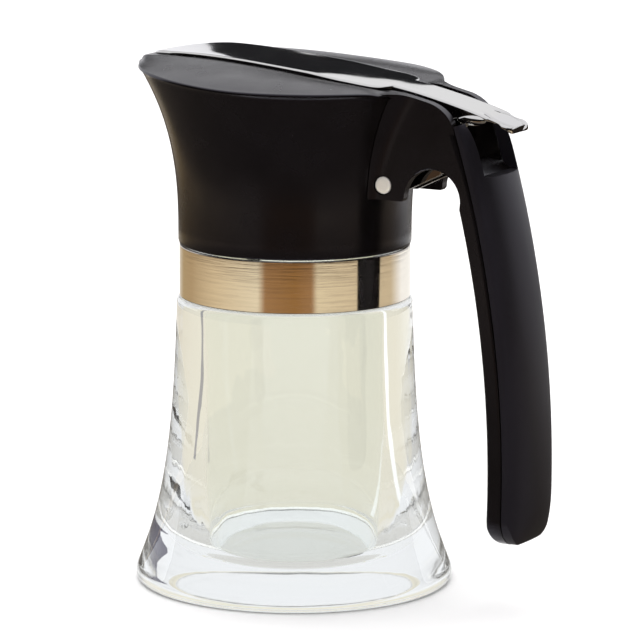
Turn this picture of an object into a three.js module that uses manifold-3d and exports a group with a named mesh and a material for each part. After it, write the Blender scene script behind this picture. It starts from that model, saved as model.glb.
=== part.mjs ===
// Lever-lid syrup jug: a clear glass jar with a flared foot, a steel collar, a flared
// black head with a pouring beak, an arched steel lid that carries on as a thumb lever,
// and an open black handle whose cheeks hold the lever's hinge pin.
// Millimetres, +Z up. The origin is the middle of the jar's flat underside, the beak
// points to -X and the handle to +X, and the jug is symmetric about the XZ plane.

import * as THREE from "three";
import { mergeVertices } from "three/addons/utils/BufferGeometryUtils.js";
import Module from "manifold-3d";

const wasm = await Module();
wasm.setup();

// Clearance between neighbouring pieces
const GAP = 0.3;

// Glass jar: the outside flares towards the foot as an exponential curve
const JAR_WAIST_R = 31.6;
const JAR_FLARE = 13.8;
const JAR_FLARE_HEIGHT = 25.3;
const JAR_FOOT_ROUND = 1.9;
const JAR_FOOT_INSET = 0.9;
const JAR_SHOULDER_Z = 79;
const JAR_NECK_R = 30.1;
const JAR_TOP_Z = 92;
const JAR_BORE_R = 24.7;
const JAR_FLOOR_Z = 5.8;
const JAR_FLOOR_ROUND = 6;

// Steel collar
const COLLAR_R = 31.5;
const COLLAR_WALL = 1;
const COLLAR_BASE_Z = JAR_SHOULDER_Z + GAP;
const COLLAR_TOP_Z = 93.4;

// Head: outside radius grows as a power of the height above FLARE_Z
const HEAD_BASE_Z = COLLAR_TOP_Z + GAP;
const HEAD_R = 31.8;
const HEAD_FLARE = 9.6;
const HEAD_FLARE_Z = 96;
const HEAD_FLARE_HEIGHT = 44.5;
const HEAD_FLARE_POWER = 2.6;
const HEAD_EDGE_ROUND = 1;
const HEAD_BORE_R = 25;
const HEAD_BORE_TOP_Z = 132;
const MOUTH_TIP_X = -41.4;
const MOUTH_BACK_X = 4;
const MOUTH_HALF = 9.5;
const MOUTH_RAMP_X = -24;
const MOUTH_LIP_Z = 139.8;
const BEAK_REACH = 4.6;
const BEAK_SPREAD = 15;
const RIM_ROUND = 0.7;
const SEAT_MARGIN = 1;
const SEAT_BACK = 38.5;
const SEAT_FRONT = 44;

// Height of the head's rim, by angle in degrees from the handle side to the beak
const RIM_HEIGHTS = [
  [0, 136.6],
  [15, 137.0],
  [25, 138.0],
  [35, 139.1],
  [60, 139.5],
  [90, 140.0],
  [130, 141.9],
  [155, 142.3],
  [180, 141.3],
];

// Steel lid and thumb lever: one arched sheet with a straight-sided leaf for a lid
const LID_T = 0.8;
const LID_SEAT = LID_T + GAP;
const LID_TIP_X = -43.5;
const LID_WIDE_X = -26;
const LID_HALF = 13.6;
const LID_SHOULDER_X = 24;
const LEVER_HALF = 7;
const LEVER_ROOT_X = 33.5;
const LEVER_END_X = 67.8;
const LEVER_CORNER = 2.6;
const LEVER_NOTCH_X = 63.5;
const LEVER_NOTCH_R = 2.6;
const LEVER_NOTCH_DEPTH = 1.1;
const LEVER_LIP = 0.4;

// Height of the sheet's upper face, by X
const LID_HEIGHTS = [
  [-50, 142.6],
  [-43, 144.0],
  [-36, 145.0],
  [-27, 145.4],
  [-18, 145.15],
  [-9, 144.55],
  [0, 143.7],
  [9, 142.75],
  [18, 141.8],
  [27, 140.75],
  [34, 139.6],
  [40, 138.45],
  [46, 137.1],
  [52, 135.6],
  [58, 133.95],
  [64, 132.1],
  [70, 130.1],
];

// Hinge pin across the handle's cheeks
const PIN_X = 33.6;
const PIN_Z = 113.5;
const PIN_R = 1.6;
const PIN_HEAD_R = 2.35;
const PIN_WELL_R = 2.6;
const PIN_HEAD_T = 0.9;

// Legs from the lever's edges down to the pin
const LEG_BOSS_R = 3.5;
const LEG_T = 1;
const LEG_BITE = 0.4;
const LEG_TOP_FRONT = [41.5, 57];
const LEG_KNEE = [50, 116.6];
const LEG_BACK_X = 51.8;
const LEG_HEEL_Z = 132.2;
const LEG_HEEL_END_X = 60;

// Handle: concentric arcs about (HANDLE_ARC_X, HANDLE_ARC_Z) in the XZ plane
const HANDLE_ARC_Z = 35;
const HANDLE_INNER_R = 300;
const HANDLE_INNER_X = 65.3;
const HANDLE_ARC_X = HANDLE_INNER_X - HANDLE_INNER_R;
const FRAME_T = 4.3;
const BACK_T = 5.4;
const HANDLE_HALF = 12.6;
const HANDLE_END_Z = 18;
const HANDLE_END_ROUND = 9;
const CHEEK_T = 2.7;
const CHANNEL_HALF = HANDLE_HALF - CHEEK_T;
const CHEEK_TOP_DROP = 0.3;
const CHEEK_CORNER_X = 47.5;
const CHEEK_CORNER_ANGLE = 18.2;
const ARCH_X = 48.1;
const ARCH_Z = 110.4;
const ARCH_R = 8.2;
const ROOT_LOW_Z = 109.6;
const CHEEK_TOP_X = 42;
const BLEND_HALF = 19;
const BLEND_LOW_Z = 106;
const BLEND_TOP_Z = 142;
const BLEND_FLARE = 2.8;
const BLEND_GROWTH = 28;
const BACK_EDGE_T = 0.8;
const BACK_END_RISE = 13;
const BACK_TOP_RISE = 9;
const ROOT_FRONT_X = 22;
const NOTCH_FLOOR_Z = 117.3;

const rad = THREE.MathUtils.degToRad;

// Mesh and solid helpers

function toSolid(geometry) {
  const bare = geometry.clone();
  bare.deleteAttribute("normal");
  bare.deleteAttribute("uv");
  const merged = mergeVertices(bare, 1e-4);
  const vertProperties = new Float32Array(merged.attributes.position.array);
  const triVerts = new Uint32Array(merged.index.array);
  return new wasm.Manifold(new wasm.Mesh({ numProp: 3, vertProperties, triVerts }));
}

function toGeometry(solid) {
  const mesh = solid.getMesh();
  const geometry = new THREE.BufferGeometry();
  geometry.setAttribute("position", new THREE.BufferAttribute(mesh.vertProperties, 3));
  geometry.setIndex(new THREE.BufferAttribute(mesh.triVerts, 1));
  geometry.computeVertexNormals();
  return geometry;
}

// Solid of revolution about Z from [radius, height] pairs that run with the solid on
// their left, from the axis or round a closed loop
function turned(profile, segments) {
  const points = profile.map(([r, z]) => new THREE.Vector2(r, z));
  const geometry = new THREE.LatheGeometry(points, segments);
  geometry.rotateX(Math.PI / 2);
  return toSolid(geometry);
}

// Prism of an outline drawn in the XZ plane, from y = near to y = far
function sidePrism(shape, near, far, curveSegments = 12) {
  const geometry = new THREE.ExtrudeGeometry(shape, {
    depth: far - near,
    bevelEnabled: false,
    curveSegments,
  });
  geometry.rotateX(Math.PI / 2);
  geometry.translate(0, far, 0);
  return toSolid(geometry);
}

// Prism of an outline drawn in the XY plane, from z = low to z = high
function planPrism(shape, low, high, curveSegments = 12) {
  const geometry = new THREE.ExtrudeGeometry(shape, {
    depth: high - low,
    bevelEnabled: false,
    curveSegments,
  });
  geometry.translate(0, 0, low);
  return toSolid(geometry);
}

// Cylinder along Y between two depths
function crossCylinder(x, z, radius, near, far, segments = 28) {
  const geometry = new THREE.CylinderGeometry(radius, radius, far - near, segments);
  geometry.translate(x, (near + far) / 2, z);
  return toSolid(geometry);
}

// Closed skin over a stack of rings with equal point counts, capped at both ends by a
// fan about each end ring's middle
function skin(rings) {
  const count = rings[0].length;
  const positions = rings.flat(2);
  const index = [];
  for (let ring = 0; ring < rings.length - 1; ring += 1) {
    for (let i = 0; i < count; i += 1) {
      const a = ring * count + i;
      const b = ring * count + ((i + 1) % count);
      index.push(a, b, b + count, a, b + count, a + count);
    }
  }
  const mean = (ring, axis) => ring.reduce((sum, p) => sum + p[axis], 0) / count;
  const middle = (ring) => [mean(ring, 0), mean(ring, 1), mean(ring, 2)];
  const first = positions.length / 3;
  positions.push(...middle(rings[0]), ...middle(rings[rings.length - 1]));
  const lastStart = (rings.length - 1) * count;
  for (let i = 0; i < count; i += 1) {
    const next = (i + 1) % count;
    index.push(first, next, i);
    index.push(first + 1, lastStart + i, lastStart + next);
  }
  const geometry = new THREE.BufferGeometry();
  geometry.setAttribute("position", new THREE.Float32BufferAttribute(positions, 3));
  geometry.setIndex(index);
  return toSolid(geometry);
}

function steps(from, to, count) {
  return Array.from({ length: count + 1 }, (_, i) => from + ((to - from) * i) / count);
}

// Glass jar

function jarRadius(z) {
  return JAR_WAIST_R + JAR_FLARE * Math.exp(-z / JAR_FLARE_HEIGHT);
}

function glassJar() {
  const footR = jarRadius(JAR_FOOT_ROUND) - JAR_FOOT_INSET;
  const profile = [[0, 0]];
  for (const turn of steps(-90, 0, 4)) {
    const r = footR - JAR_FOOT_ROUND + JAR_FOOT_ROUND * Math.cos(rad(turn));
    profile.push([r, JAR_FOOT_ROUND + JAR_FOOT_ROUND * Math.sin(rad(turn))]);
  }
  for (const z of steps(6, JAR_SHOULDER_Z, 14)) {
    profile.push([jarRadius(z), z]);
  }
  profile.push([JAR_NECK_R, JAR_SHOULDER_Z]);
  profile.push([JAR_NECK_R, JAR_TOP_Z - 0.6]);
  profile.push([JAR_NECK_R - 0.6, JAR_TOP_Z]);
  profile.push([JAR_BORE_R + 0.6, JAR_TOP_Z]);
  profile.push([JAR_BORE_R, JAR_TOP_Z - 0.6]);
  for (const turn of steps(0, -90, 4)) {
    const r = JAR_BORE_R - JAR_FLOOR_ROUND + JAR_FLOOR_ROUND * Math.cos(rad(turn));
    profile.push([r, JAR_FLOOR_Z + JAR_FLOOR_ROUND + JAR_FLOOR_ROUND * Math.sin(rad(turn))]);
  }
  profile.push([0, JAR_FLOOR_Z]);
  return turned(profile, 56);
}

// Steel collar

function steelCollar() {
  const inner = COLLAR_R - COLLAR_WALL;
  return turned(
    [
      [inner, COLLAR_BASE_Z],
      [COLLAR_R - 0.2, COLLAR_BASE_Z],
      [COLLAR_R, COLLAR_BASE_Z + 0.2],
      [COLLAR_R, COLLAR_TOP_Z - 0.2],
      [COLLAR_R - 0.2, COLLAR_TOP_Z],
      [inner, COLLAR_TOP_Z],
      [inner, COLLAR_BASE_Z],
    ],
    72,
  );
}

// Smooth curve through [position, height] pairs, read at any position
function heightCurve(pairs) {
  const curve = new THREE.SplineCurve(pairs.map(([at, z]) => new THREE.Vector2(at, z)));
  return (target) => {
    let low = 0;
    let high = 1;
    for (let i = 0; i < 24; i += 1) {
      const mid = (low + high) / 2;
      if (curve.getPoint(mid).x < target) {
        low = mid;
      } else {
        high = mid;
      }
    }
    return curve.getPoint((low + high) / 2).y;
  };
}

// Lid arch: the height of the sheet's upper face at x
const lidZ = heightCurve(LID_HEIGHTS);

// Plan outline of the lid: a leaf that comes to a blunt tip over the beak and has round
// shoulders at the lever's root
function lidOutline() {
  const front = [LID_TIP_X + 8.5, LID_HALF];
  const shoulder = [LID_SHOULDER_X + 7.5, LID_HALF, LEVER_ROOT_X - 0.5, LID_HALF - 2.6];
  const shape = new THREE.Shape();
  shape.moveTo(LID_TIP_X, 0);
  shape.bezierCurveTo(LID_TIP_X, -3.5, front[0], -front[1], LID_WIDE_X, -LID_HALF);
  shape.lineTo(LID_SHOULDER_X, -LID_HALF);
  shape.bezierCurveTo(
    shoulder[0], -shoulder[1], shoulder[2], -shoulder[3], LEVER_ROOT_X, -LEVER_HALF,
  );
  shape.lineTo(LEVER_ROOT_X, LEVER_HALF);
  shape.bezierCurveTo(
    shoulder[2], shoulder[3], shoulder[0], shoulder[1], LID_SHOULDER_X, LID_HALF,
  );
  shape.lineTo(LID_WIDE_X, LID_HALF);
  shape.bezierCurveTo(front[0], front[1], LID_TIP_X, 3.5, LID_TIP_X, 0);
  return shape;
}

// Head

function headRadius(angle, z) {
  const rise = Math.max(0, (z - HEAD_FLARE_Z) / HEAD_FLARE_HEIGHT) ** HEAD_FLARE_POWER;
  const fromBeak = (180 - Math.abs(angle)) / BEAK_SPREAD;
  return HEAD_R + rise * (HEAD_FLARE + BEAK_REACH * Math.exp(-(fromBeak ** 2)));
}

const rimCurve = heightCurve(RIM_HEIGHTS);

function rimHeight(angle) {
  return rimCurve(Math.abs(angle));
}

// Radius at which the lid's seat ends on the head's top, by angle
function seatRadius(angle) {
  const c = Math.cos(rad(angle));
  const s = Math.abs(Math.sin(rad(angle)));
  const half = LID_HALF + SEAT_MARGIN;
  const reach = c > 0 ? SEAT_BACK : SEAT_FRONT;
  return 1 / ((Math.abs(c) / reach) ** 4 + (s / half) ** 4) ** 0.25;
}

// Where the head's rings lie: up the wall, in over the top and in over the seat
const WALL_STEPS = [0.2, 0.35, 0.47, 0.57, 0.66, 0.74, 0.81, 0.87, 0.92, 0.96];
const TOP_STEPS = [0, 0.12, 0.35, 0.65, 1];
const SEAT_STEPS = [0.8, 0.55, 0.3, 0.08];

// The head's outside: flared wall, rounded rim and a top that rises to the lid's seat.
// grow thickens it, for cutting the handle to fit
function headOutside(grow) {
  const around = 64;
  const angles = steps(-180, 180, around).slice(0, around);
  const at = (angle, r, z) => [r * Math.cos(rad(angle)), r * Math.sin(rad(angle)), z];
  const rings = [];
  rings.push(angles.map((a) => at(a, HEAD_R - HEAD_EDGE_ROUND + grow, HEAD_BASE_Z - grow)));
  rings.push(angles.map((a) => at(a, HEAD_R - 0.3 + grow, HEAD_BASE_Z + 0.3)));
  rings.push(angles.map((a) => at(a, HEAD_R + grow, HEAD_BASE_Z + HEAD_EDGE_ROUND)));
  for (const u of WALL_STEPS) {
    rings.push(
      angles.map((a) => {
        const z = HEAD_BASE_Z + u * (rimHeight(a) - HEAD_BASE_Z);
        return at(a, headRadius(a, z) + grow, z);
      }),
    );
  }
  rings.push(angles.map((a) => at(a, headRadius(a, rimHeight(a)) + grow, rimHeight(a) - RIM_ROUND)));
  for (const u of TOP_STEPS) {
    rings.push(
      angles.map((a) => {
        const rimR = headRadius(a, rimHeight(a)) - RIM_ROUND * 0.7 + grow;
        const seatR = Math.min(seatRadius(a), rimR - 1);
        const r = rimR + (seatR - rimR) * u;
        const seatZ = lidZ(seatR * Math.cos(rad(a))) - LID_SEAT;
        const ease = u * (2 - u);
        return at(a, r, rimHeight(a) + (seatZ - rimHeight(a)) * ease + grow);
      }),
    );
  }
  for (const u of SEAT_STEPS) {
    rings.push(
      angles.map((a) => {
        const r = Math.min(seatRadius(a), headRadius(a, rimHeight(a)) - RIM_ROUND * 0.7 - 1) * u;
        return at(a, r, lidZ(r * Math.cos(rad(a))) - LID_SEAT + grow);
      }),
    );
  }
  return skin(rings);
}

// Pouring mouth under the lid: a leaf-shaped well whose front wall climbs to the beak
function pouringMouth() {
  const plan = new THREE.Shape();
  plan.moveTo(MOUTH_TIP_X, 0);
  plan.bezierCurveTo(MOUTH_TIP_X, -4, -36, -MOUTH_HALF + 0.5, -27, -MOUTH_HALF);
  plan.bezierCurveTo(-12, -MOUTH_HALF - 0.5, MOUTH_BACK_X, -7.5, MOUTH_BACK_X, 0);
  plan.bezierCurveTo(MOUTH_BACK_X, 7.5, -12, MOUTH_HALF + 0.5, -27, MOUTH_HALF);
  plan.bezierCurveTo(-36, MOUTH_HALF - 0.5, MOUTH_TIP_X, 4, MOUTH_TIP_X, 0);
  const low = HEAD_BORE_TOP_Z - 1;
  const high = 150;
  const side = new THREE.Shape();
  side.moveTo(MOUTH_RAMP_X, low);
  side.lineTo(MOUTH_BACK_X + 1, low);
  side.lineTo(MOUTH_BACK_X + 1, high);
  side.lineTo(MOUTH_TIP_X - 3, high);
  side.lineTo(MOUTH_TIP_X - 3, MOUTH_LIP_Z + 1.6);
  side.lineTo(MOUTH_TIP_X + 1, MOUTH_LIP_Z);
  side.closePath();
  const prism = planPrism(plan, low - 1, high + 1);
  return prism.intersect(sidePrism(side, -2 * MOUTH_HALF, 2 * MOUTH_HALF));
}

function head() {
  const bore = turned(
    [
      [0, HEAD_BASE_Z - 1],
      [HEAD_BORE_R, HEAD_BASE_Z - 1],
      [HEAD_BORE_R, HEAD_BORE_TOP_Z - 3],
      [HEAD_BORE_R - 3, HEAD_BORE_TOP_Z],
      [0, HEAD_BORE_TOP_Z],
    ],
    48,
  );
  const legHalf = LEVER_HALF + 1;
  const bossPocket = crossCylinder(PIN_X, PIN_Z, LEG_BOSS_R + 0.9, -legHalf, legHalf);
  return headOutside(0).subtract(bore).subtract(pouringMouth()).subtract(bossPocket);
}

// Handle curves: a point on the arc of the given radius, at an angle in degrees

function onHandle(radius, angle) {
  const x = HANDLE_ARC_X + radius * Math.cos(rad(angle));
  return [x, HANDLE_ARC_Z + radius * Math.sin(rad(angle))];
}

const FRAME_R = HANDLE_INNER_R + FRAME_T;
const END_ANGLE = THREE.MathUtils.radToDeg(Math.asin((HANDLE_END_Z - HANDLE_ARC_Z) / FRAME_R));

// Rounds the handle's lower end as seen from the front
function endRounding() {
  const shape = new THREE.Shape();
  const r = HANDLE_END_ROUND;
  const wide = BLEND_HALF;
  shape.moveTo(-wide, 150);
  shape.lineTo(-wide, BLEND_LOW_Z);
  shape.lineTo(-HANDLE_HALF, BLEND_LOW_Z);
  shape.lineTo(-HANDLE_HALF, HANDLE_END_Z + r);
  shape.absarc(-HANDLE_HALF + r, HANDLE_END_Z + r, r, Math.PI, 1.5 * Math.PI);
  shape.absarc(HANDLE_HALF - r, HANDLE_END_Z + r, r, 1.5 * Math.PI, 2 * Math.PI);
  shape.lineTo(HANDLE_HALF, BLEND_LOW_Z);
  shape.lineTo(wide, BLEND_LOW_Z);
  shape.lineTo(wide, 150);
  shape.closePath();
  const geometry = new THREE.ExtrudeGeometry(shape, {
    depth: 90,
    bevelEnabled: false,
    curveSegments: 6,
  });
  geometry.rotateX(Math.PI / 2);
  geometry.rotateZ(Math.PI / 2);
  return toSolid(geometry);
}

// Sides of the handle's root: flat cheeks that flare out in a soft fillet where they meet
// the head, wider towards the rim
function rootBlend() {
  const rings = steps(0, 1, 9).map((u) => {
    const z = BLEND_LOW_Z + u * (BLEND_TOP_Z - BLEND_LOW_Z);
    const r = headRadius(25, z);
    const flare = BLEND_FLARE * (1 + (z - PIN_Z) / BLEND_GROWTH);
    const cornerX = Math.sqrt(r ** 2 - HANDLE_HALF ** 2);
    const edgeY = HANDLE_HALF + flare;
    const edgeX = Math.sqrt(r ** 2 - edgeY ** 2);
    const half = [[90, HANDLE_HALF]];
    for (const t of steps(0, 1, 5)) {
      const start = (1 - t) ** 2;
      const bend = 2 * t * (1 - t);
      const x = start * (cornerX + 1.2 * flare) + bend * cornerX + t ** 2 * edgeX;
      half.push([x, (start + bend) * HANDLE_HALF + t ** 2 * edgeY]);
    }
    half.push([edgeX - 4, edgeY]);
    const mirrored = half.map(([x, y]) => [x, -y]).reverse();
    return [...half, ...mirrored].map(([x, y]) => [x, y, z]);
  });
  return skin(rings);
}

// Room between the cheeks for the lever
function channel() {
  const side = new THREE.Shape();
  side.moveTo(10, ROOT_LOW_Z - 4);
  side.lineTo(ARCH_X + 6.5, ROOT_LOW_Z - 4);
  side.lineTo(ARCH_X + 8, ROOT_LOW_Z + 1);
  side.lineTo(ARCH_X + 11.7, NOTCH_FLOOR_Z);
  side.lineTo(90, NOTCH_FLOOR_Z);
  side.lineTo(90, 160);
  side.lineTo(10, 160);
  side.closePath();
  return sidePrism(side, -CHANNEL_HALF, CHANNEL_HALF);
}

// Handle frame: two cheeks beside the lever and the inner half of the grip
function handleFrame() {
  const side = new THREE.Shape();
  const [innerX, innerZ] = onHandle(HANDLE_INNER_R, END_ANGLE + 1.4);
  side.moveTo(...onHandle(HANDLE_INNER_R, END_ANGLE + 2.2));
  for (const angle of steps(END_ANGLE + 3.4, 14.2, 11)) {
    side.lineTo(...onHandle(HANDLE_INNER_R, angle));
  }
  side.lineTo(ARCH_X + ARCH_R, ARCH_Z);
  side.absarc(ARCH_X, ARCH_Z, ARCH_R, 0, Math.PI);
  side.lineTo(ARCH_X - ARCH_R - 0.6, ROOT_LOW_Z);
  side.lineTo(ROOT_FRONT_X, ROOT_LOW_Z);
  side.lineTo(ROOT_FRONT_X, lidZ(ROOT_FRONT_X) - LID_SEAT - 0.6);
  side.lineTo(CHEEK_TOP_X - 3, lidZ(CHEEK_TOP_X - 3) - CHEEK_TOP_DROP);
  for (const x of steps(CHEEK_TOP_X, CHEEK_CORNER_X, 4)) {
    side.lineTo(x, lidZ(x) - CHEEK_TOP_DROP);
  }
  const [cornerX, cornerZ] = onHandle(FRAME_R, CHEEK_CORNER_ANGLE);
  side.quadraticCurveTo(cornerX - 1.4, cornerZ + 4.6, cornerX, cornerZ);
  for (const angle of steps(CHEEK_CORNER_ANGLE - 1.4, END_ANGLE, 15)) {
    side.lineTo(...onHandle(FRAME_R, angle));
  }
  side.lineTo(innerX + FRAME_T - 1.2, HANDLE_END_Z);
  side.quadraticCurveTo(innerX + 0.2, HANDLE_END_Z, innerX, innerZ);
  const grip = sidePrism(side, -HANDLE_HALF, HANDLE_HALF);
  const root = sidePrism(side, -BLEND_HALF, BLEND_HALF).intersect(rootBlend());
  let frame = grip.add(root).subtract(channel()).subtract(headOutside(GAP));
  frame = frame.intersect(endRounding());
  frame = frame.subtract(crossCylinder(PIN_X, PIN_Z, PIN_R + GAP, -BLEND_HALF, BLEND_HALF));
  const wellDepth = HANDLE_HALF - PIN_HEAD_T - GAP;
  for (const [near, far] of [[-BLEND_HALF, -wellDepth], [wellDepth, BLEND_HALF]]) {
    frame = frame.subtract(crossCylinder(PIN_X, PIN_Z, PIN_WELL_R, near, far));
  }
  return frame;
}

// Handle back: a domed shell over the frame, forked round the lever's notch
function handleBack() {
  const topAngle = CHEEK_CORNER_ANGLE + 0.1;
  const around = 18;
  const alongArc = (angle) => (angle * Math.PI * FRAME_R) / 180;
  const eased = (u, depth) => Math.sqrt(1 - depth * (1 - Math.min(1, u)) ** 2);
  const rings = steps(END_ANGLE + 0.15, topAngle, 24).map((angle) => {
    const endEase = eased(alongArc(angle - END_ANGLE) / BACK_END_RISE, 0.82);
    const topEase = eased(alongArc(topAngle - angle) / BACK_TOP_RISE, 0.75);
    const dome = BACK_T * endEase * topEase;
    const ring = [];
    for (const turn of steps(0, 180, around)) {
      const y = HANDLE_HALF * Math.cos(rad(turn));
      const lift = BACK_EDGE_T + (dome - BACK_EDGE_T) * Math.sin(rad(turn)) ** 0.85;
      const [x, z] = onHandle(FRAME_R + GAP + lift, angle);
      ring.push([x, y, z]);
    }
    for (const y of [-HANDLE_HALF, HANDLE_HALF]) {
      const [x, z] = onHandle(FRAME_R + GAP, angle);
      ring.push([x, y, z]);
    }
    return ring.reverse();
  });
  return skin(rings).subtract(channel()).intersect(endRounding());
}

// Hinge pin with a flat head at each end, turned about its own axis and laid along Y
function hingePin() {
  const reach = HANDLE_HALF;
  const geometry = new THREE.LatheGeometry(
    [
      [0, -reach],
      [PIN_HEAD_R - 0.3, -reach],
      [PIN_HEAD_R, -reach + 0.3],
      [PIN_HEAD_R, -reach + PIN_HEAD_T],
      [PIN_R, -reach + PIN_HEAD_T],
      [PIN_R, reach - PIN_HEAD_T],
      [PIN_HEAD_R, reach - PIN_HEAD_T],
      [PIN_HEAD_R, reach - 0.3],
      [PIN_HEAD_R - 0.3, reach],
      [0, reach],
    ].map(([r, y]) => new THREE.Vector2(r, y)),
    24,
  );
  geometry.translate(PIN_X, 0, PIN_Z);
  return toSolid(geometry);
}

// Lid and lever: plan outline and lever strip cut from an arched sheet, with two legs
// that reach down between the cheeks to the pin
function lidAndLever() {
  const sheet = new THREE.Shape();
  const xs = steps(LID_TIP_X - 1, LEVER_END_X + 1, 30);
  sheet.moveTo(xs[0], lidZ(xs[0]) - LID_T);
  for (const x of xs.slice(1)) {
    sheet.lineTo(x, lidZ(x) - LID_T);
  }
  for (const x of xs.slice().reverse()) {
    sheet.lineTo(x, lidZ(x));
  }
  sheet.closePath();
  const strip = new THREE.Shape();
  const c = LEVER_CORNER;
  strip.moveTo(LEVER_ROOT_X - 3, -LEVER_HALF);
  strip.lineTo(LEVER_END_X - c, -LEVER_HALF);
  strip.absarc(LEVER_END_X - c, -LEVER_HALF + c, c, -Math.PI / 2, 0);
  strip.absarc(LEVER_END_X - c, LEVER_HALF - c, c, 0, Math.PI / 2);
  strip.lineTo(LEVER_ROOT_X - 3, LEVER_HALF);
  strip.closePath();
  const low = LEG_KNEE[1];
  const high = LID_HEIGHTS[0][1] + 10;
  let plan = planPrism(lidOutline(), low, high, 10).add(planPrism(strip, low, high, 6));
  for (const side of [-1, 1]) {
    const notch = new THREE.CylinderGeometry(LEVER_NOTCH_R, LEVER_NOTCH_R, 2 * (high - low), 20);
    notch.rotateX(Math.PI / 2);
    const notchY = LEVER_HALF + LEVER_NOTCH_R - LEVER_NOTCH_DEPTH;
    notch.translate(LEVER_NOTCH_X, side * notchY, (low + high) / 2);
    plan = plan.subtract(toSolid(notch));
  }
  let lid = plan.intersect(sidePrism(sheet, -LID_HALF - 1, LID_HALF + 1));

  const lipT = LID_T + LEVER_LIP;
  const lip = new THREE.BoxGeometry(LEVER_LIP * 3, 2 * (LEVER_HALF - c), lipT);
  const lipX = LEVER_END_X - LEVER_LIP * 1.5;
  lip.translate(lipX, 0, lidZ(LEVER_END_X) - lipT / 2);
  lid = lid.add(toSolid(lip));

  const leg = new THREE.Shape();
  const onBoss = (angle) => [
    PIN_X + LEG_BOSS_R * Math.cos(rad(angle)),
    PIN_Z + LEG_BOSS_R * Math.sin(rad(angle)),
  ];
  leg.moveTo(...onBoss(-66));
  leg.lineTo(...LEG_KNEE);
  leg.quadraticCurveTo(LEG_BACK_X - 0.3, LEG_KNEE[1] + 1.4, LEG_BACK_X, LEG_KNEE[1] + 7);
  leg.lineTo(LEG_BACK_X + 0.4, LEG_HEEL_Z - 3.2);
  leg.quadraticCurveTo(LEG_BACK_X + 1, LEG_HEEL_Z, LEG_BACK_X + 4.2, LEG_HEEL_Z);
  leg.lineTo(LEG_HEEL_END_X, LEG_HEEL_Z);
  leg.lineTo(LEG_HEEL_END_X + 1.5, lidZ(LEG_HEEL_END_X + 1.5) - LEG_BITE);
  for (const x of steps(LEG_TOP_FRONT[1], LEG_TOP_FRONT[0], 6)) {
    leg.lineTo(x, lidZ(x) - LEG_BITE);
  }
  leg.lineTo(PIN_X + 5, PIN_Z + 10.5);
  leg.lineTo(...onBoss(110));
  leg.absarc(PIN_X, PIN_Z, LEG_BOSS_R, rad(110), rad(294));
  const bore = crossCylinder(PIN_X, PIN_Z, PIN_R + GAP, -HANDLE_HALF, HANDLE_HALF);
  for (const near of [-LEVER_HALF, LEVER_HALF - LEG_T]) {
    lid = lid.add(sidePrism(leg, near, near + LEG_T).subtract(bore));
  }
  return lid;
}

// Scene graph

const GLASS = { color: 0xeef2f0, roughness: 0.02, metalness: 0, transparent: true, opacity: 0.35 };
const STEEL = { color: 0xc9c7c2, roughness: 0.08, metalness: 1 };
const BLACK = { color: 0x161415, roughness: 0.45, metalness: 0 };
const GRIP = { color: 0x232228, roughness: 0.6, metalness: 0 };
const PIN_STEEL = { color: 0xd6d1c4, roughness: 0.35, metalness: 1 };

function part(name, solid, look) {
  const mesh = new THREE.Mesh(toGeometry(solid), new THREE.MeshStandardMaterial(look));
  mesh.name = name;
  return mesh;
}

const group = new THREE.Group();
group.add(part("glass_jar", glassJar(), GLASS));
group.add(part("steel_collar", steelCollar(), STEEL));
group.add(part("head", head(), BLACK));
group.add(part("handle_frame", handleFrame(), BLACK));
group.add(part("handle_back", handleBack(), GRIP));
group.add(part("hinge_pin", hingePin(), PIN_STEEL));
group.add(part("lid_lever", lidAndLever(), STEEL));

export default group;
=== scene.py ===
"""Looks of a lever-lid syrup jug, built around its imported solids.

A clear pressed-glass jar, a polished steel collar, a flared black moulded head with a
pouring beak, an arched polished lid that carries on as a thumb lever, and an open black
handle with a soft domed back. The beak points to -X, the handle to +X, Z is up.
"""

import math

import bmesh
import bpy
from mathutils import Matrix, Vector


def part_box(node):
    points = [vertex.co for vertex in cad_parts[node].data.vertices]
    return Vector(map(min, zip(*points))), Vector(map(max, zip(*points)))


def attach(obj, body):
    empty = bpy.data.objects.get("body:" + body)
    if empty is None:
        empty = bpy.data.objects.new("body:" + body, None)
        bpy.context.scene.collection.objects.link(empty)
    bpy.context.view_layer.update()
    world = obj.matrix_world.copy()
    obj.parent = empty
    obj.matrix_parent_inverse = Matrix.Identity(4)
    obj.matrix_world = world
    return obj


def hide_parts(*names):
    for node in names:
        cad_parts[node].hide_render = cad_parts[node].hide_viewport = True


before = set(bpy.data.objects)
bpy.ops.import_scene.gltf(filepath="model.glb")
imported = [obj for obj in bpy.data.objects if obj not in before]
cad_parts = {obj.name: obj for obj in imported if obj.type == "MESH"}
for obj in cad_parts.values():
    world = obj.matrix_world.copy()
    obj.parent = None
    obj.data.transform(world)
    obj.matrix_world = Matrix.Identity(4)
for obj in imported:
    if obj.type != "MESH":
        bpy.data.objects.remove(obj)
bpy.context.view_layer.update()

# Sizes are in millimetres, as in the solids, and become metres when a mesh is made
MM = 0.001
GAP = 0.3


def top_of(node):
    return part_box(node)[1] / MM


def foot_of(node):
    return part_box(node)[0] / MM


# Glass jar: the outside flares towards the foot as an exponential curve
JAR_WAIST_R = 31.6
JAR_FLARE = 13.8
JAR_FLARE_HEIGHT = 25.3
JAR_FOOT_ROUND = 1.9
JAR_FOOT_INSET = 0.92
JAR_FOOT_PULL = (0.1, 3.6)
JAR_FOOT_TOP_Z = 5
JAR_SHOULDER_Z = 79
JAR_NECK_R = 30.1
JAR_TOP_Z = top_of("glass_jar").z
JAR_TOP_ROUND = 0.6
JAR_BORE_R = 24.7
JAR_FLOOR_Z = 5.8
JAR_FLOOR_ROUND = 6
JAR_SHOULDER_ROUND = 1.2

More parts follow.
